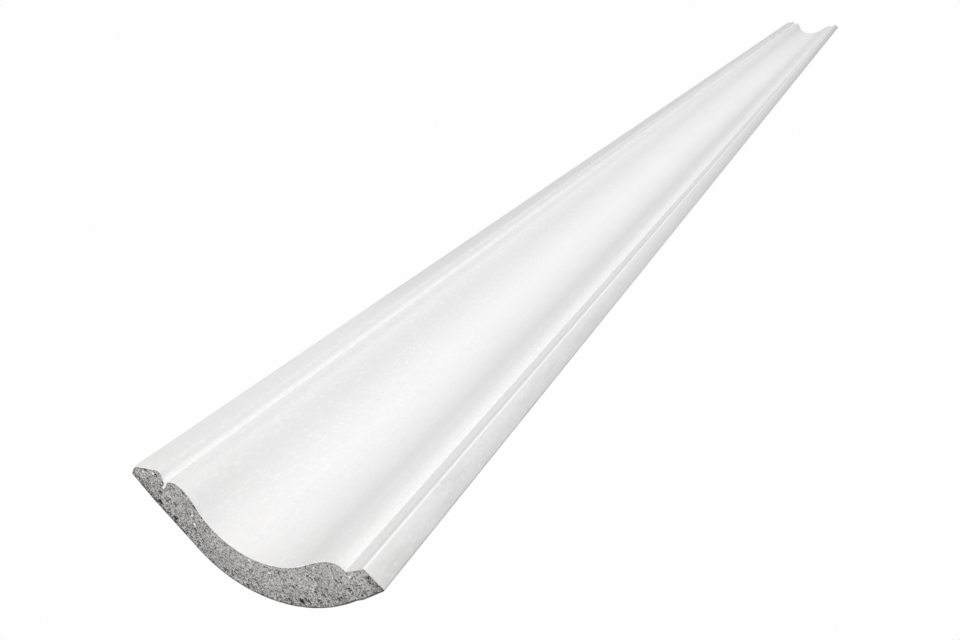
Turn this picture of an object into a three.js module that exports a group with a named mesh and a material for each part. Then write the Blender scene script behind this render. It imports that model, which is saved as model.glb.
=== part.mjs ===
import * as THREE from "three";

// One length of paper-faced plaster crown moulding: a cove between a bead and a soft roll,
// in millimetres.
// It lies along X the way it is built in, with the wall behind it at +Y and the ceiling above
// it at +Z. The origin is the middle of the flat that is bonded to the wall.
// "Out" is measured away from the wall, "drop" down from the ceiling, "rise" up from the
// lower back corner and "in" back from the front corner.

// Whole piece
const length = 2000; // both ends are cut square
const wallLeg = 90; // ceiling to the lower back corner
const ceilingLeg = 90; // wall to the front corner

// Hollow back between the two bonding flats
const bondingFlat = 14; // width of the flat at the wall, and of the one at the ceiling
const wallEase = 25; // over which the back leaves the wall flat
const wallRecess = 2.2; // gap that it leaves to the wall
const ceilingEase = 4; // over which the back leaves the ceiling flat
const ceilingRecess = 0.6; // gap that it leaves to the ceiling

// Edge on the wall
const lowerEdgeOut = 6.5;
const lowerEdgeFall = 1.3; // outer corner below the back corner
const noseOut = 20.7; // before it is rounded
const noseRise = 7.3;
const noseRounding = 3;
const quirkOut = 15.9; // sharp groove between nose and bead
const quirkRise = 13;
const beadUnderside = 2.1; // nearly level stretch out of the quirk
const beadSag = 0.5; // lowest line of the bead below the quirk
const wallBeadOut = 25.2; // crown of the bead
const wallBeadRise = 20.5;
const wallOgee = 15; // crown up to the cove
const ogeeFullness = 0.45; // share of the ogee that each of its two curves reaches

// Cove
const coveOut = 22.7; // where it runs straight up, nearest to the wall
const coveDrop = 20.9; // where it would run level, nearest to the ceiling
const coveLean = 8; // degrees short of level where the roll takes over

// Edge on the ceiling
const rollIn = 30; // start of the soft roll between cove and step
const rollReach = 11; // pull of the cove's slope on the roll
const rollFall = 6; // pull of the step's upright on the roll
const stepIn = 11.2; // groove between roll and front edge
const stepDrop = 12.3;
const frontEdgeIn = 1.1;
const frontEdgeDrop = 10.4;

const cornerRounding = 0.8; // every corner under the facing, the nose apart
const arcSegments = 10;

// A point of the section: out from the wall and drop from the ceiling
function at(out, drop) {
  return new THREE.Vector2(out, drop);
}

// Goes to a corner and rounds it off, no further back than halfway to its neighbours
function roundedCorner(outline, before, corner, after, rounding) {
  const reach = Math.min(rounding, corner.distanceTo(before) / 2, corner.distanceTo(after) / 2);
  const start = corner.clone().add(before.clone().sub(corner).setLength(reach));
  const end = corner.clone().add(after.clone().sub(corner).setLength(reach));
  outline.lineTo(start.x, start.y);
  outline.quadraticCurveTo(corner.x, corner.y, end.x, end.y);
}

// Edge that meets the wall: square back corner, splayed underside, rounded nose and quirk
function wallEdge(outline) {
  const flatEnd = at(0, wallLeg - bondingFlat);
  const backCorner = at(0, wallLeg);
  const lowerCorner = at(lowerEdgeOut, wallLeg + lowerEdgeFall);
  const nose = at(noseOut, wallLeg - noseRise);
  const quirk = at(quirkOut, wallLeg - quirkRise);
  outline.moveTo(flatEnd.x, flatEnd.y);
  roundedCorner(outline, flatEnd, backCorner, lowerCorner, cornerRounding);
  roundedCorner(outline, backCorner, lowerCorner, nose, cornerRounding);
  roundedCorner(outline, lowerCorner, nose, quirk, noseRounding);
  outline.lineTo(quirk.x, quirk.y);
}

// Bead over the quirk, and the ogee that leads from its crown into the cove
function wallBead(outline) {
  const middleOut = quirkOut + beadUnderside;
  const crownDrop = wallLeg - wallBeadRise;
  const depth = wallBeadOut - middleOut;
  const height = wallBeadRise - quirkRise + beadSag;
  const coveEnd = crownDrop - wallOgee;
  const lead = wallOgee * ogeeFullness;
  outline.lineTo(middleOut, crownDrop + height);
  outline.absellipse(middleOut, crownDrop, depth, height, Math.PI / 2, 0, true);
  outline.bezierCurveTo(wallBeadOut, crownDrop - lead, coveOut, coveEnd + lead, coveOut, coveEnd);
}

// Hollow that spans what the bead and the roll leave, and the roll that falls to the step
function coveAndRoll(outline) {
  const lean = THREE.MathUtils.degToRad(coveLean);
  const rollOut = ceilingLeg - rollIn;
  const radiusOut = (rollOut - coveOut) / (1 - Math.sin(lean));
  const radiusDown = wallLeg - wallBeadRise - wallOgee - coveDrop;
  const centre = at(coveOut + radiusOut, coveDrop + radiusDown);
  outline.absellipse(centre.x, centre.y, radiusOut, radiusDown, Math.PI, Math.PI * 1.5 - lean, false);

  const rollStart = at(rollOut, centre.y - radiusDown * Math.cos(lean));
  const slope = at(radiusOut * Math.cos(lean), -radiusDown * Math.sin(lean)).setLength(rollReach);
  const step = at(ceilingLeg - stepIn, stepDrop);
  outline.bezierCurveTo(
    rollStart.x + slope.x, rollStart.y + slope.y,
    step.x, step.y + rollFall,
    step.x, step.y,
  );
}

// Edge that meets the ceiling: narrow step and nearly upright front
function ceilingEdge(outline) {
  const step = at(ceilingLeg - stepIn, stepDrop);
  const frontCorner = at(ceilingLeg - frontEdgeIn, frontEdgeDrop);
  const ceilingCorner = at(ceilingLeg, 0);
  const flatEnd = at(ceilingLeg - bondingFlat, 0);
  roundedCorner(outline, step, frontCorner, ceilingCorner, cornerRounding);
  roundedCorner(outline, frontCorner, ceilingCorner, flatEnd, cornerRounding);
  outline.lineTo(flatEnd.x, flatEnd.y);
}

// Back: eases off each flat into one hollow curve across the room's corner
function hollowBack(outline) {
  const radiusOut = ceilingLeg - bondingFlat - ceilingEase - wallRecess;
  const radiusDown = wallLeg - bondingFlat - wallEase - ceilingRecess;
  const centre = at(wallRecess + radiusOut, ceilingRecess + radiusDown);
  outline.lineTo(centre.x, ceilingRecess);
  outline.absellipse(centre.x, centre.y, radiusOut, radiusDown, Math.PI * 1.5, Math.PI, true);
  outline.closePath();
}

function mouldingSection() {
  const outline = new THREE.Shape();
  wallEdge(outline);
  wallBead(outline);
  coveAndRoll(outline);
  ceilingEdge(outline);
  hollowBack(outline);
  return outline;
}

const facingPaper = new THREE.MeshStandardMaterial({
  name: "facing_paper",
  color: 0xeff0f0,
  roughness: 0.8,
  metalness: 0,
});

function crownMouldingLength() {
  const geometry = new THREE.ExtrudeGeometry(mouldingSection(), {
    depth: length,
    steps: 1,
    curveSegments: arcSegments,
    bevelEnabled: false,
  });
  const piece = new THREE.Mesh(geometry, facingPaper);
  piece.name = "crown_moulding_length";
  return piece;
}

// The section's out, drop and run become -Y, -Z and +X, and the wall flat's middle the origin
const moulding = new THREE.Group();
const outOfWall = new THREE.Vector3(0, -1, 0);
const downFromCeiling = new THREE.Vector3(0, 0, -1);
const alongWall = new THREE.Vector3(1, 0, 0);
const builtIn = new THREE.Matrix4().makeBasis(outOfWall, downFromCeiling, alongWall);
moulding.setRotationFromMatrix(builtIn);
moulding.position.set(-length / 2, 0, wallLeg - bondingFlat / 2);
moulding.add(crownMouldingLength());

export default moulding;
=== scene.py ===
import math
import random

import bmesh
import bpy
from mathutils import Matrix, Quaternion, Vector, kdtree


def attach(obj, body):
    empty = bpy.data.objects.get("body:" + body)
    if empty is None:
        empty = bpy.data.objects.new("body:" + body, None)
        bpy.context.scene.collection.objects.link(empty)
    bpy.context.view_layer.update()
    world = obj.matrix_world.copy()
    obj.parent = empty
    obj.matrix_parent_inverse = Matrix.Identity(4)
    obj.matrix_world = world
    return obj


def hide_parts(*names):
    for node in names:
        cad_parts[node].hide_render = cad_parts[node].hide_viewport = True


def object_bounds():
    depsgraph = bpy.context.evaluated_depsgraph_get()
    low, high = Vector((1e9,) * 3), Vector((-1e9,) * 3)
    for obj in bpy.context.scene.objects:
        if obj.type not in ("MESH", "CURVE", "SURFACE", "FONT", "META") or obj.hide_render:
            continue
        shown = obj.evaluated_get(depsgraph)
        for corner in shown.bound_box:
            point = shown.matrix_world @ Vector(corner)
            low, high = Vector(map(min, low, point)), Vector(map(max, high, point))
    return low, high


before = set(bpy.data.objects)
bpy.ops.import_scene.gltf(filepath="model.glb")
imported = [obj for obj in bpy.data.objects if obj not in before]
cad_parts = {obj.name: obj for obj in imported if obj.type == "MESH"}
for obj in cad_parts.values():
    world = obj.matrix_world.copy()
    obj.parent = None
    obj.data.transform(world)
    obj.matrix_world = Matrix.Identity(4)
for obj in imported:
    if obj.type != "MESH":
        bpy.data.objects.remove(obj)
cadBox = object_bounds()
print("frame loaded")

# Metres: X along the moulding, +Y into the wall, +Z up to the ceiling
halfLength = cadBox[1][0]
ceilingHeight = cadBox[1][2]

backCurve = {  # ellipse that the hollow back follows, in the piece's Y and Z
    "middle": (-0.0720, 0.0320),
    "radii": (0.0698, 0.0504),
}

lineCore = 0.3  # share of a painted line's half width that has its full strength
mostNoise = (0.3, 0.7)  # most values of a noise pattern lie between these


# Node trees: sums on a Wire add Math nodes, every other node comes from Sheet.add

class Wire:
    def __init__(self, sheet, socket):
        self.sheet = sheet
        self.socket = socket

    def __add__(self, other):
        return self.sheet.maths("ADD", self, other)

    def __sub__(self, other):
        return self.sheet.maths("SUBTRACT", self, other)

    def __rsub__(self, other):
        return self.sheet.maths("SUBTRACT", other, self)

    def __mul__(self, other):
        return self.sheet.maths("MULTIPLY", self, other)

    def __lt__(self, other):
        return self.sheet.maths("LESS_THAN", self, other)

    def __gt__(self, other):
        return self.sheet.maths("GREATER_THAN", self, other)

    __radd__ = __add__
    __rmul__ = __mul__


class Sheet:
    def __init__(self, owner):  # a material or a world
        owner.use_nodes = True
        self.owner = owner
        self.tree = owner.node_tree
        self.tree.nodes.clear()

    def add(self, kind, settings=None, sockets=None, output=0):
        node = self.tree.nodes.new(kind)
        for name, value in (settings or {}).items():
            setattr(node, name, value)
        for name, value in (sockets or {}).items():
            if isinstance(value, Wire):
                self.tree.links.new(value.socket, node.inputs[name])
            else:
                node.inputs[name].default_value = value
        return Wire(self, node.outputs[output]) if node.outputs else node

    def maths(self, operation, first, second=0.0):
        return self.add("ShaderNodeMath", {"operation": operation}, {0: first, 1: second})

    def place(self, density=1):  # the piece's own metres times density, one number or one for each axis
        metres = self.add("ShaderNodeTexCoord", output="Object")
        factors = density if isinstance(density, tuple) else (density, density, density)
        return self.add("ShaderNodeVectorMath", {"operation": "MULTIPLY"}, {0: metres, 1: factors})

    def axis(self, name):
        return self.add("ShaderNodeSeparateXYZ", sockets={0: self.place()}, output=name)

    def noise(self, density, detail=2.0, roughness=0.5):
        sockets = {"Vector": self.place(density), "Scale": 1, "Detail": detail, "Roughness": roughness}
        return self.add("ShaderNodeTexNoise", sockets=sockets)

    def cells(self, density, output="Distance"):
        sockets = {"Vector": self.place(density), "Scale": 1}
        return self.add("ShaderNodeTexVoronoi", sockets=sockets, output=output)

    def spread(self, value, low, high, lowest, highest):  # low..high becomes lowest..highest
        sockets = {"Value": value, "From Min": low, "From Max": high}
        return self.add("ShaderNodeMapRange", sockets={**sockets, "To Min": lowest, "To Max": highest})

    def mask(self, pattern, low, high, share=1.0):  # 0 where the pattern is at low, share at high
        return self.spread(pattern, low, high, 0.0, share)

    def blend(self, mask, under, over):  # colours
        return self.add("ShaderNodeMix", {"data_type": "RGBA"}, {0: mask, 6: under, 7: over}, output=2)

    def layer(self, under, over, pattern, low, high, share=1.0):
        return self.blend(self.mask(pattern, low, high, share), under, over)

    def backness(self):  # 1 on the back of the section, about 0.7 at the cove
        (middleY, middleZ), (radiusY, radiusZ) = backCurve["middle"], backCurve["radii"]
        inwards = self.maths("MAXIMUM", (self.axis("Y") - middleY) * (1 / radiusY), 0)
        upwards = self.maths("MAXIMUM", (self.axis("Z") - middleZ) * (1 / radiusZ), 0)
        return self.maths("SQRT", inwards * inwards + upwards * upwards)

    def onLine(self, line):  # the line's strength on it, 0 from its half width on
        out, drop, halfWidth, strength = line
        outwards = self.axis("Y") + out
        downwards = self.axis("Z") - (ceilingHeight - drop)
        away = self.maths("SQRT", outwards * outwards + downwards * downwards)
        return self.mask(away, halfWidth, halfWidth * lineCore, strength)

    def relief(self, height, depth):  # height 0..1 stands for depth metres
        return self.add("ShaderNodeBump", sockets={"Height": height, "Strength": 1, "Distance": depth})

    def finish(self, colour, roughness, specular=0.5, relief=None):  # returns the material
        sockets = {"Base Color": colour, "Roughness": roughness, "Specular IOR Level": specular}
        if relief:
            sockets["Normal"] = relief
        surface = self.add("ShaderNodeBsdfPrincipled", sockets=sockets)
        self.add("ShaderNodeOutputMaterial", sockets={"Surface": surface})
        return self.owner


def newSheet(name):
    return Sheet(bpy.data.materials.new(name))


def grey(level, warmth=0.0):
    return (level * (1 + warmth), level, level * (1 - warmth), 1)


# Facing paper

facing = {
    "colour": (0.900, 0.900, 0.901, 1),
    "shade": (0.868, 0.868, 0.870, 1),
    # pale flecks, and the painted highlight of the pale lines
    "paleFleckAndPaintedHighlight": (0.985, 0.985, 0.982, 1),
    # dark flecks, and the painted shade of the dark lines
    "crease": (0.80, 0.80, 0.80, 1),
    # patchy painted shade by the front edge
    "frontShade": (0.64, 0.64, 0.64, 1),
    "speck": (0.46, 0.44, 0.41, 1),
    "soil": (0.86, 0.835, 0.80, 1),
    "roughness": (0.56, 0.70),
    "specular": 0.15,
    "fibreHeight": 0.000006,
    "streakHeight": 0.00003,

    # patterns: how many to the metre, detail, roughness
    "clouds": ((14, 40, 40), 3),
    "streaks": ((9, 420, 420), 2),
    "fibre": ((1300, 2600, 2600), 3, 0.6),
    "flecks": ((450, 900, 900), 2, 0.6),
    "frontShadePatches": ((35, 140, 140), 3),
    "handling": ((60, 130, 130), 3),
    "speckPatches": (90, 1),
    "specks": 260,

    # pattern values between which a colour comes in, then its share where that isn't 1
    "mottling": (0.8, 1.5),
    "paleFlecks": (0.53, 0.74, 0.5),
    "darkFlecks": (0.46, 0.28, 0.3),
    "frontShadeRange": (0.48, 0.7),
    "soiling": (0.45, 0.7, 0.5),
    "speckEdge": (0.16, 0.1, 0.3),
    "speckPatch": 0.66,
    "sheen": (0.7, 1.3),  # between which the roughness changes
    "streakShare": 0.8,  # of streaks and fibre in the mottling
    "fibreShare": 0.5,

    # stretches along X
    "nearPart": (0.2, 0.9),
    "frontShadePart": (0.7, 0.95),
    "handledPart": (0.95, 1.0),
}

# Painted highlight lines (pale) and painted shade lines (dark) along the moulding: out from the wall,
# down from the ceiling, half width, strength
paintedHighlightLines = [
    (0.0172, 0.0782, 0.0042, 1.0),  # painted highlight from the nose into the quirk
    (0.0889, 0.0104, 0.0009, 1.0),  # painted highlight on the front arris
]
# painted shade lines
paintedShadeLines = [
    (0.0063, 0.0914, 0.0015, 1.0),  # painted shade along the lower edge
    (0.0240, 0.0740, 0.0026, 0.8),  # painted shade between quirk and bead
    (0.0765, 0.0160, 0.0065, 0.55),  # painted shade on the steep side of the roll
    (0.0205, 0.0830, 0.0028, 0.8),  # painted shade on the nose
    (0.0868, 0.0108, 0.0016, 1.0),  # painted shade between step and front arris
    (0.0898, 0.0004, 0.0072, 1.0),  # painted shade by the ceiling corner
]
nearPaintedShadeLines = [(0.0245, 0.0600, 0.0200, 0.65)]  # painted shade over the ogee, towards the near end
farPaintedShadeLines = [(0.0136, 0.0870, 0.0100, 1.0)]  # painted shade between lower edge and nose, towards the far end
frontShadeLine = (0.0895, 0.0030, 0.0085, 0.75)  # patchy painted shade along the front edge by the ceiling corner, towards the near end


def facingPaper():
    sheet = newSheet("facingPaper")
    clouds = sheet.noise(*facing["clouds"])
    streaks = sheet.noise(*facing["streaks"])
    fibre = sheet.noise(*facing["fibre"])
    mottle = clouds + streaks * facing["streakShare"] + fibre * facing["fibreShare"]
    colour = sheet.layer(facing["colour"], facing["shade"], mottle, *facing["mottling"])

    nearness = sheet.mask(sheet.axis("X"), *facing["nearPart"])
    # painted shade lines and painted highlight lines; the near and far shade lines fade along X
    for lines, share, name in (
        (nearPaintedShadeLines, nearness, "crease"),
        (farPaintedShadeLines, 1 - nearness, "crease"),
        (paintedShadeLines, 1, "crease"),
        (paintedHighlightLines, 1, "paleFleckAndPaintedHighlight"),
    ):
        for line in lines:
            colour = sheet.blend(sheet.onLine(line) * share, colour, facing[name])

    # patchy painted shade along the front edge by the ceiling corner, towards the near end
    frontShadeMask = sheet.mask(sheet.noise(*facing["frontShadePatches"]), *facing["frontShadeRange"])
    frontShadeMask = frontShadeMask * sheet.mask(sheet.axis("X"), *facing["frontShadePart"])
    colour = sheet.blend(sheet.onLine(frontShadeLine) * frontShadeMask, colour, facing["frontShade"])
    flecks = sheet.noise(*facing["flecks"])
    colour = sheet.layer(colour, facing["paleFleckAndPaintedHighlight"], flecks, *facing["paleFlecks"])
    colour = sheet.layer(colour, facing["crease"], flecks, *facing["darkFlecks"])
    speckled = sheet.noise(*facing["speckPatches"]) > facing["speckPatch"]
    speckled = speckled * sheet.mask(sheet.cells(facing["specks"]), *facing["speckEdge"])
    colour = sheet.blend(speckled, colour, facing["speck"])
    soiled = sheet.mask(sheet.noise(*facing["handling"]), *facing["soiling"])
    soiled = soiled * sheet.mask(sheet.axis("X"), *facing["handledPart"])
    colour = sheet.blend(soiled, colour, facing["soil"])

    height = streaks * (facing["streakHeight"] / facing["fibreHeight"]) + fibre
    relief = sheet.relief(height, facing["fibreHeight"])
    roughness = sheet.spread(fibre + clouds, *facing["sheen"], *facing["roughness"])
    return sheet.finish(colour, roughness, facing["specular"], relief)


# Backing paper

backing = {
    "colour": (0.40, 0.385, 0.355, 1),
    "fleck": (0.20, 0.19, 0.175, 1),
    "roughness": (0.77, 0.93),
    "specular": 0.3,
    "fibreHeight": 0.00005,
    "fibre": ((700, 1600, 1600), 4, 0.65),  # patterns and pattern values as above
    "clouds": ((20, 50, 50), 3),
    "flecks": 420,
    "mottling": (0.75, 1.3, 0.35),
    "fleckEdge": (0.2, 0.12, 0.4),
}


def backingPaper():
    sheet = newSheet("backingPaper")
    fibre = sheet.noise(*backing["fibre"])
    mottle = fibre + sheet.noise(*backing["clouds"])
    flecks = sheet.cells(backing["flecks"])
    colour = sheet.layer(backing["colour"], backing["fleck"], mottle, *backing["mottling"])
    colour = sheet.layer(colour, backing["fleck"], flecks, *backing["fleckEdge"])
    relief = sheet.relief(fibre, backing["fibreHeight"])
    roughness = sheet.spread(fibre, *mostNoise, *backing["roughness"])
    return sheet.finish(colour, roughness, backing["specular"], relief)


# Sawn plaster on the ends

core = {
    "dark": grey(0.085, 0.012),
    "pale": grey(0.62, 0.012),
    "crystal": grey(0.93, 0.005),
    "yellow": (0.34, 0.323, 0.272, 1),
    "rose": (0.34, 0.309, 0.314, 1),
    # painted shade of pores: flat dark spots, and the insides of the sunk pores
    "poreShade": grey(0.04, 0.03),
    "roughness": (0.86, 0.98),
    "specular": 0.3,
    "grainHeight": 0.00012,

    # patterns: how many to the metre, detail, roughness
    "grain": (1500, 2, 0.6),
    "lumps": (480, 1),
    "patches": (90, 2),
    "tint": (38, 1),
    "choice": (330, 1),
    "crumbs": 1900,
    "crystals": 700,

    # weights in the mix of dark and pale
    "crumbShare": 2.0,
    "grainShare": 0.8,
    "lumpShare": 0.5,
    "patchShare": 0.3,
    "dustShare": 0.3,

    # paler towards the facing, the ceiling end and the wall end: backness, Y and Z
    "dustyFacing": (1.0, 0.8),
    "dustyCeiling": (-0.066, -0.086),
    "dustyWall": (0.006, -0.008, 0.5),
    "darkRim": (0.995, 1.006, 0.3),  # backness

    # pattern values as for the facing paper, and the depths over which pores get painted shade inside
    "paleness": (1.26, 2.45),
    "yellowing": (0.5, 0.7, 0.3),
    "rosiness": (0.45, 0.3, 0.3),
    "crystalEdge": (0.3, 0.15),
    "crystalChoice": 0.66,
    "poreEdge": (0.34, 0.22),
    "poreChoice": 0.375,
    "poreShadeDepth": (0.0005, 0.0011),
}


def sawnPlaster():
    sheet = newSheet("sawnPlaster")
    crumbs = sheet.cells(core["crumbs"], "Color")
    grain = sheet.noise(*core["grain"])
    dust = sheet.mask(sheet.backness(), *core["dustyFacing"])
    dust += sheet.mask(sheet.axis("Y"), *core["dustyCeiling"])
    dust += sheet.mask(sheet.axis("Z"), *core["dustyWall"])
    mix = crumbs * core["crumbShare"] + grain * core["grainShare"] + dust * core["dustShare"]
    mix += sheet.noise(*core["lumps"]) * core["lumpShare"]
    mix += sheet.noise(*core["patches"]) * core["patchShare"]
    rim = sheet.mask(sheet.backness(), *core["darkRim"])
    colour = sheet.layer(core["dark"], core["pale"], mix - rim, *core["paleness"])

    tint = sheet.noise(*core["tint"])
    colour = sheet.layer(colour, core["yellow"], tint, *core["yellowing"])
    colour = sheet.layer(colour, core["rose"], tint, *core["rosiness"])
    crystals = sheet.cells(core["crystals"])
    choice = sheet.noise(*core["choice"])
    pale = sheet.mask(crystals, *core["crystalEdge"]) * (choice > core["crystalChoice"])
    # flat dark spots that stand for pores: painted shade
    dark = sheet.mask(crystals, *core["poreEdge"]) * (choice < core["poreChoice"])
    colour = sheet.blend(pale, colour, core["crystal"])
    colour = sheet.blend(dark, colour, core["poreShade"])
    # painted shade inside the pores, darker the deeper they go
    depth = halfLength - sheet.maths("ABSOLUTE", sheet.axis("X"))
    colour = sheet.layer(colour, core["poreShade"], depth, *core["poreShadeDepth"])

    relief = sheet.relief(grain + crumbs, core["grainHeight"])
    roughness = sheet.spread(grain, *mostNoise, *core["roughness"])
    return sheet.finish(colour, roughness, core["specular"], relief)


# Cut edge of both papers, round the sawn plaster

edge = {
    "colour": (0.965, 0.96, 0.95, 1),
    "shade": (0.86, 0.85, 0.83, 1),
    "back": (0.05, 0.048, 0.045, 1),
    "backShade": (0.24, 0.23, 0.22, 1),
    "backStart": 0.965,  # backness from which the backing paper's colours hold
    "roughness": (0.75, 0.9),
    "specular": 0.3,
    "frayHeight": 0.00005,
    "fray": (2200, 3, 0.6),  # patterns and pattern values as above
    "dust": (240, 2),
    "mottling": (0.95, 1.35),
    "backMottling": (0.85, 1.25),
}


def cutPaper():
    sheet = newSheet("cutPaper")
    fray = sheet.noise(*edge["fray"])
    mottle = fray + sheet.noise(*edge["dust"])
    front = sheet.layer(edge["colour"], edge["shade"], mottle, *edge["mottling"])
    behind = sheet.layer(edge["back"], edge["backShade"], mottle, *edge["backMottling"])
    colour = sheet.blend(sheet.backness() > edge["backStart"], front, behind)
    relief = sheet.relief(fray, edge["frayHeight"])
    roughness = sheet.spread(fray, *mostNoise, *edge["roughness"])
    return sheet.finish(colour, roughness, edge["specular"], relief)


# The moulding itself: places on its section are given out from the wall and down from the ceiling

moulding = {
    "node": "crown_moulding_length",
    "leg": 0.090,
    "lap": 0.010,  # facing paper folded onto each flat
    "lapStep": 0.0002,  # backing paper lies this much deeper
    "flatGap": 0.001,  # a face nearer to wall or ceiling is on a flat
    "flatness": 0.4,  # degrees, CAD triangles that lie flatter become one face
    "paper": 0.00045,  # thickness
    "sunk": 0.00012,  # sawn plaster behind the paper's edge
    "sunkSlope": 0.00003,
    "wholeEnd": 0.001,  # area that only an undivided end exceeds
    "grid": 0.00046,  # mesh of the sawn plaster
    "crease": ((0.0126, 0.0763), (0.0158, 0.0775)),  # paper folded into the plaster at the quirk
    "wholeLine": 1.9,  # length that only a line from end to end exceeds
    "slices": 160,  # stretches along the length
    "grain": (0.0009, 0.00022),  # roughness of the sawn plaster: cloud size, depth
    "unevenness": (0.006, 0.00018),
    "wave": (0.02, 0.00003),  # of the paper
    "squeeze": 0.1,  # lengthwise, while the paper gets its waves
    "rim": 0.001,  # next to each cut end, left without waves
    "smoothBelow": 28,  # degrees
}

pores = {
    "seed": 11,
    "sizes": [  # radius, how many on each end, depth
        (0.00075, 16, 0.0011),
        (0.0005, 60, 0.0008),
        (0.0003, 220, 0.0005),
    ],
    "variation": (0.7, 1.25),  # times the radius
    "margin": 0.0006,  # to the edge of the plaster
    "rimTests": 8,
    "slopes": (0.00008, 0.00005),  # how far the walls lean in, over two steps
    "steps": (0.55, 0.45),  # shares of the depth
    "nearSteps": (0.0007, 0.0005),  # depths of the pores named below
}

# Marks on the near end: out from the wall, down from the ceiling, radius
nearPores = [
    (0.0080, 0.0761, 0.0010), (0.0109, 0.0874, 0.0008), (0.0118, 0.0778, 0.0009),
    (0.0024, 0.0734, 0.0014), (0.0034, 0.0644, 0.0012), (0.0090, 0.0340, 0.0008),
    (0.0080, 0.0354, 0.0009), (0.0340, 0.0114, 0.0010), (0.0405, 0.0089, 0.0014),
    (0.0448, 0.0075, 0.0009), (0.0512, 0.0056, 0.0009), (0.0146, 0.0246, 0.0009),
    (0.0627, 0.0036, 0.0008), (0.0865, 0.0062, 0.0010), (0.0145, 0.0824, 0.0008),
]
nearCrystals = [
    (0.0136, 0.0571, 0.0008), (0.0141, 0.0838, 0.0007), (0.0062, 0.0625, 0.0005),
    (0.0293, 0.0330, 0.0006), (0.0355, 0.0249, 0.0005), (0.0167, 0.0607, 0.0005),
    (0.0084, 0.0871, 0.0006), (0.0782, 0.0098, 0.0005),
]

finishes = {"facing": facingPaper, "backing": backingPaper, "core": sawnPlaster, "edge": cutPaper}
slots = {name: index for index, name in enumerate(finishes)}


def onSection(place):
    return -place.y, ceilingHeight - place.z


def chooseFaces(piece, test):
    bpy.ops.mesh.select_mode(type="FACE")
    bpy.ops.mesh.select_all(action="DESELECT")
    mesh = bmesh.from_edit_mesh(piece.data)
    for face in mesh.faces:
        if test(face):
            face.select_set(True)
    bmesh.update_edit_mesh(piece.data)


def paintChosen(piece, slotName):
    piece.active_material_index = slots[slotName]
    bpy.ops.object.material_slot_assign()


def sinkChosen(depths):
    for slope, depth in zip(pores["slopes"], depths):
        bpy.ops.mesh.inset(thickness=slope, depth=-depth)


def isLong(face):  # runs along the moulding
    return abs(face.normal.x) < 0.5


def isBack(face):
    out, drop = onSection(face.calc_center_median())
    gap = moulding["flatGap"]
    lapStart = moulding["leg"] - moulding["lap"]
    onLap = (out < gap and drop > lapStart) or (drop < gap and out > lapStart)
    return isLong(face) and face.normal.y + face.normal.z > 0 and not onLap


def isWholeEnd(face):
    return not isLong(face) and face.calc_area() > moulding["wholeEnd"]


def isSawn(face):  # sawn plaster, without the walls of its pores
    return face.material_index == slots["core"] and abs(face.normal.x) > 0.9


def isCrease(face):
    (nearOut, nearDrop), (farOut, farDrop) = moulding["crease"]
    out, drop = onSection(face.calc_center_median())
    return isSawn(face) and nearOut < out < farOut and nearDrop < drop < farDrop


def isAmong(face, marks):
    middle = face.calc_center_median()
    if middle.x < 0 or not isSawn(face):
        return False
    place = onSection(middle)
    return any(math.dist(place, (out, drop)) < radius for out, drop, radius in marks)


def mergedCopy(nodeName):
    bpy.ops.object.select_all(action="DESELECT")
    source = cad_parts[nodeName]
    piece = source.copy()
    piece.data = source.data.copy()
    piece.parent = None
    for key in list(piece.keys()):
        del piece[key]
    piece.name = "crownMoulding"
    bpy.context.scene.collection.objects.link(piece)
    bpy.context.view_layer.objects.active = piece
    piece.select_set(True)
    piece.data.materials.clear()
    for makeMaterial in finishes.values():
        piece.data.materials.append(makeMaterial())
    bpy.ops.object.mode_set(mode="EDIT")
    bpy.ops.mesh.select_all(action="SELECT")
    bpy.ops.mesh.remove_doubles(threshold=1e-6)
    bpy.ops.mesh.dissolve_limited(angle_limit=math.radians(moulding["flatness"]))
    bpy.ops.mesh.select_all(action="SELECT")
    paintChosen(piece, "facing")
    return piece


def layBackingPaper(piece):
    lapStart = moulding["leg"] - moulding["lap"]
    step = moulding["lapStep"]
    chooseFaces(piece, lambda face: face.normal.y > 0.99)  # wall flat
    bpy.ops.mesh.bisect(plane_co=(0, 0, ceilingHeight - lapStart), plane_no=(0, 0, 1))
    chooseFaces(piece, lambda face: face.normal.z > 0.99)  # ceiling flat
    bpy.ops.mesh.bisect(plane_co=(0, -lapStart, 0), plane_no=(0, 1, 0))
    chooseFaces(piece, isBack)
    paintChosen(piece, "backing")
    bpy.ops.mesh.inset(thickness=step, depth=-step)


def openEnds(piece):
    chooseFaces(piece, isWholeEnd)
    paintChosen(piece, "edge")
    bpy.ops.mesh.inset(thickness=moulding["paper"], depth=0)
    paintChosen(piece, "core")
    bpy.ops.mesh.inset(thickness=moulding["sunkSlope"], depth=-moulding["sunk"])


def gridEnds(piece):
    low, high = cadBox
    step = moulding["grid"]
    chooseFaces(piece, isWholeEnd)
    for axis, normal in ((1, Vector((0, 1, 0))), (2, Vector((0, 0, 1)))):
        for count in range(1, int((high[axis] - low[axis]) / step) + 1):
            bpy.ops.mesh.bisect(plane_co=normal * (high[axis] - count * step), plane_no=normal)
            chooseFaces(piece, isSawn)


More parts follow.
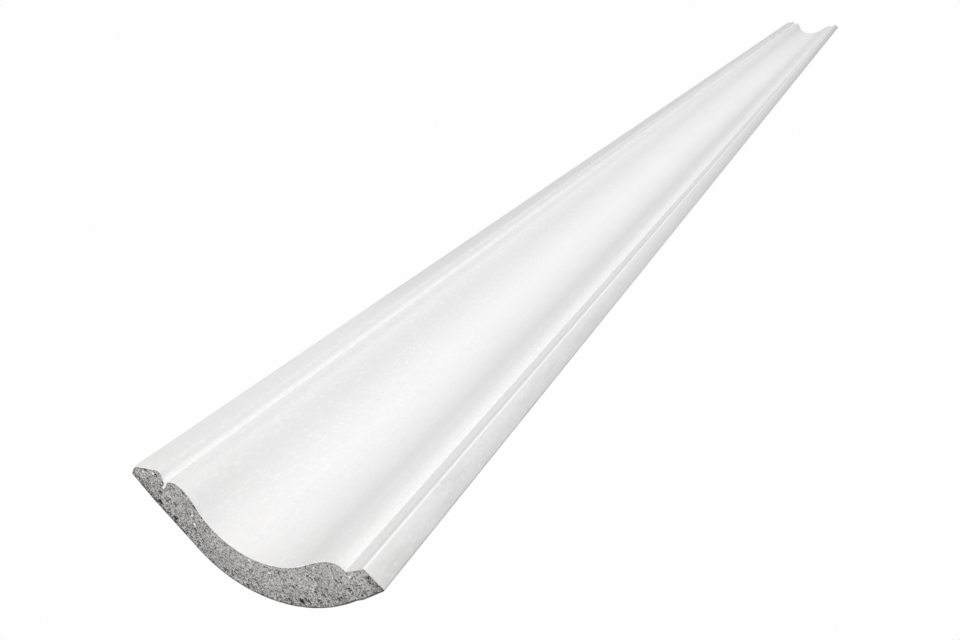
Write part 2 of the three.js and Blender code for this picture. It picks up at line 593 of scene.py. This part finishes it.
def openPores(piece):
    random.seed(pores["seed"])
    mesh = bmesh.from_edit_mesh(piece.data)
    centres = [face.calc_center_median() for face in mesh.faces if isSawn(face)]
    tree = kdtree.KDTree(len(centres))
    for index, centre in enumerate(centres):
        tree.insert(centre, index)
    tree.balance()

    def isInside(place, radius):  # plaster all round a pore of this radius
        for turn in range(pores["rimTests"]):
            angle = math.tau * turn / pores["rimTests"]
            way = Vector((0, math.cos(angle), math.sin(angle)))
            if tree.find(place + way * (radius + pores["margin"]))[2] > moulding["grid"]:
                return False
        return True

    for radius, count, depth in pores["sizes"]:
        places = kdtree.KDTree(2 * count)
        reach = []
        for side in (-1, 1):
            while len(reach) < (count if side < 0 else 2 * count):
                place = random.choice(centres).copy()
                if place.x * side < 0 or not isInside(place, radius):
                    continue
                places.insert(place, len(reach))
                reach.append(radius * random.uniform(*pores["variation"]))
        places.balance()

        def isInPore(face):
            if not isSawn(face):
                return False
            found = places.find(face.calc_center_median())
            return found[2] < reach[found[1]]

        chooseFaces(piece, isInPore)
        sinkChosen([depth * share for share in pores["steps"]])


def markEnds(piece):
    chooseFaces(piece, lambda face: isAmong(face, nearPores))
    sinkChosen(pores["nearSteps"])
    chooseFaces(piece, lambda face: isAmong(face, nearCrystals) or isCrease(face))
    paintChosen(piece, "edge")


def sliceLength(piece):
    bpy.ops.mesh.select_mode(type="EDGE")
    bpy.ops.mesh.select_all(action="DESELECT")
    mesh = bmesh.from_edit_mesh(piece.data)
    for line in mesh.edges:
        if line.calc_length() > moulding["wholeLine"]:
            line.select_set(True)
    bmesh.update_edit_mesh(piece.data)
    bpy.ops.mesh.subdivide(number_cuts=moulding["slices"] - 1)


def markGroup(piece, groupName, test, reach=halfLength):  # all vertices that only such faces share
    inside = set()
    outside = set()
    for polygon in piece.data.polygons:
        (inside if test(polygon) else outside).update(polygon.vertices)
    points = piece.data.vertices
    chosen = [index for index in sorted(inside - outside) if abs(points[index].co.x) <= reach]
    piece.vertex_groups.new(name=groupName).add(chosen, 1.0, "REPLACE")


def roughen(piece, groupName, cloudSize, depth):
    cloud = bpy.data.textures.new(groupName + "Cloud", "CLOUDS")
    cloud.noise_scale = cloudSize
    cloud.noise_depth = 2
    modifier = piece.modifiers.new(groupName, "DISPLACE")
    modifier.texture = cloud
    modifier.texture_coords = "LOCAL"
    modifier.vertex_group = groupName
    modifier.strength = depth
    modifier.mid_level = 1.0  # only ever inwards
    bpy.ops.object.modifier_apply(modifier=modifier.name)


def stretchPiece(piece, factor):
    piece.scale.x = factor
    bpy.ops.object.transform_apply(location=False, rotation=False, scale=True)


def buildMoulding():
    piece = mergedCopy(moulding["node"])
    print("copied", len(piece.data.vertices))
    layBackingPaper(piece)
    openEnds(piece)
    gridEnds(piece)
    print("ends gridded")
    openPores(piece)
    markEnds(piece)
    print("pores open")
    sliceLength(piece)
    bpy.ops.object.mode_set(mode="OBJECT")
    sawn = slots["core"]
    markGroup(piece, "sawn", lambda polygon: polygon.material_index == sawn)
    waved = halfLength - moulding["rim"]
    markGroup(piece, "paper", lambda polygon: polygon.material_index < sawn, waved)
    roughen(piece, "sawn", *moulding["grain"])
    roughen(piece, "sawn", *moulding["unevenness"])
    stretchPiece(piece, moulding["squeeze"])
    roughen(piece, "paper", *moulding["wave"])
    stretchPiece(piece, 1 / moulding["squeeze"])
    bpy.ops.object.shade_smooth_by_angle(angle=math.radians(moulding["smoothBelow"]))
    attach(piece, "root")
    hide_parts(moulding["node"])
    print("moulding built,", len(piece.data.polygons), "faces")


# Floor, world, lights and camera

stage = {
    "floorDrop": 2.2,
    "floorRadius": 2.1,
    "floorSides": 96,
    "floorColours": (grey(0.86), grey(0.84)),
    "floorClouds": (3, 2),
    "roughness": 0.9,  # floor and cards
    "cardColour": grey(0.03),
    "backdrop": 0.99,  # white paper all round, as the camera sees it
    "fill": 0.435,  # light that it gives
}

cards = {  # black cards that the camera doesn't see, middle and size
    "frontCard": ((0, -0.096, 0.0855), (2.2, 0.032, 0.001)),  # over the front corner
    "wallCard": ((-0.12, 0.003, -0.038), (1.9, 0.001, 0.05)),  # below the wall edge
}

lamps = {  # distance along the moulding, angle below level out of the wall, power
    "keyNear": (1.4, 10, 6.9),
    "fillNear": (1.4, 35, 3.1),
    "keyMiddle": (-0.3, 10, 1.2),
    "fillMiddle": (-0.3, 35, 2.8),
    "keyFar": (-1.7, 10, 3.1),
    "fillFar": (-1.7, 60, 6.3),
}

lampSet = {
    "aim": (0.6, -0.045, 0.04),
    "distance": 1.3,
    "width": 0.9,
    "floorLamp": (0.0, -0.1, -0.5),  # shines down on the floor alone
    "floorWidth": 2.4,
    "floorPower": 12,
    "endLamp": (2.3, 0.25, 0.40),  # behind the wall and ceiling, so that it meets the cut end alone
    "endWidth": 0.6,
    "endPower": 7.2,
}

camera = {
    "place": (1.12902, -0.30179, 0.02274),
    "target": (0.8144, -0.0450, 0.0384),
    "roll": 141.17,
    "lens": 26.18,
    "sensor": 36.0,
    "clipStart": 0.01,
}


def layFloor():
    bpy.ops.mesh.primitive_circle_add(vertices=stage["floorSides"], radius=stage["floorRadius"],
                                      fill_type="NGON", location=(0, 0, -stage["floorDrop"]))
    floor = bpy.context.active_object
    floor.name = "floor"
    bpy.ops.object.transform_apply(location=True)
    sheet = newSheet("paleFloor")
    colour = sheet.blend(sheet.noise(*stage["floorClouds"]), *stage["floorColours"])
    floor.data.materials.append(sheet.finish(colour, stage["roughness"]))


def lightWorld():
    world = bpy.data.worlds.new("studio")
    bpy.context.scene.world = world
    sheet = Sheet(world)
    seen = sheet.add("ShaderNodeLightPath", output="Is Camera Ray")
    level = seen * (stage["backdrop"] - stage["fill"]) + stage["fill"]
    background = sheet.add("ShaderNodeBackground", sockets={"Color": (1, 1, 1, 1), "Strength": level})
    sheet.add("ShaderNodeOutputWorld", sockets={"Surface": background})


def hangLamp(name, place, aim, width, power):
    light = bpy.data.lights.new(name, "AREA")
    light.shape = "DISK"
    light.size = width
    light.energy = power
    lamp = bpy.data.objects.new(name, light)
    lamp.location = place
    lamp.rotation_euler = (aim - place).to_track_quat("-Z", "Y").to_euler()
    lamp.visible_camera = False
    bpy.context.scene.collection.objects.link(lamp)


def lightMoulding():
    aim = Vector(lampSet["aim"])
    for name, (along, turn, power) in lamps.items():
        angle = math.radians(turn)
        place = aim + Vector((0, -math.cos(angle), -math.sin(angle))) * lampSet["distance"]
        place.x = along
        hangLamp(name, place, aim, lampSet["width"], power)
    nearEnd = Vector((halfLength, aim.y, aim.z))
    hangLamp("endLamp", Vector(lampSet["endLamp"]), nearEnd, lampSet["endWidth"], lampSet["endPower"])
    above = Vector(lampSet["floorLamp"])
    below = above - Vector((0, 0, 1))
    hangLamp("floorLamp", above, below, lampSet["floorWidth"], lampSet["floorPower"])


def hangCard(name, middle, size):
    bpy.ops.mesh.primitive_cube_add(size=1, location=middle)
    card = bpy.context.active_object
    card.name = name
    card.scale = size
    bpy.ops.object.transform_apply(location=True, scale=True)
    card.data.materials.append(newSheet(name).finish(stage["cardColour"], stage["roughness"]))
    card.visible_camera = False


def setCamera():
    data = bpy.data.cameras.new("camera")
    data.lens = camera["lens"]
    data.sensor_width = camera["sensor"]
    data.clip_start = camera["clipStart"]
    viewer = bpy.data.objects.new("camera", data)
    place = Vector(camera["place"])
    look = (Vector(camera["target"]) - place).to_track_quat("-Z", "Y")
    roll = Quaternion((0, 0, 1), math.radians(camera["roll"]))
    viewer.location = place
    viewer.rotation_euler = (look @ roll).to_euler()
    bpy.context.scene.collection.objects.link(viewer)
    bpy.context.scene.camera = viewer


buildMoulding()
layFloor()
lightWorld()
lightMoulding()
for name, (middle, size) in cards.items():
    hangCard(name, middle, size)
setCamera()
bpy.context.scene.view_settings.view_transform = "Standard"
print("stage set")
